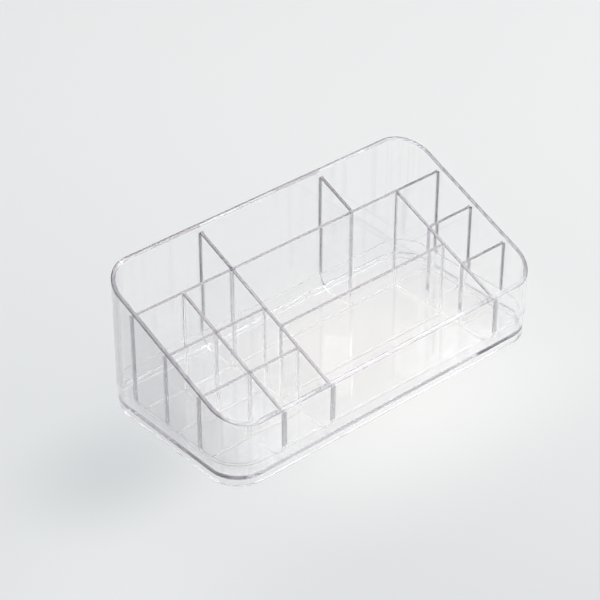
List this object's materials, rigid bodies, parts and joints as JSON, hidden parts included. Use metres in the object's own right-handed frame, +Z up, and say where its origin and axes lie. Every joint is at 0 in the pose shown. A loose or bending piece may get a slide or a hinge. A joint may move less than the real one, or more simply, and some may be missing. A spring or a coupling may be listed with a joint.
{
  "type": "vanity organizer",
  "caption": "Clear countertop organizer for cosmetics: a round-cornered box with a rim sloping down to the front and fixed dividers for upright tubes, brushes and compacts.",
  "frame": {"origin": "middle of the footprint, on the surface that the organizer stands on", "axes": "+X along the length towards the single column of small compartments, +Y from the low front to the high back, +Z up"},
  "size_m": [0.22, 0.109, 0.0825],
  "materials": {
    "tray_plastic": "clear, polished, a little thicker than the wall",
    "wall_plastic": "clear, polished, smooth inside and outside",
    "divider_plastic": "clear, polished, with flame-smoothed top edges"
  },
  "bodies": {
    "root": {"base_tray": "tray_plastic", "outer_wall": "wall_plastic", "rear_divider": "divider_plastic", "left_cross_divider": "divider_plastic", "back_cross_divider": "divider_plastic", "front_left_cross_divider": "divider_plastic", "front_right_cross_divider": "divider_plastic", "left_upper_divider": "divider_plastic", "left_lower_divider": "divider_plastic", "right_upper_divider": "divider_plastic", "right_lower_divider": "divider_plastic", "centre_divider": "divider_plastic"}
  },
  "joints": []
}
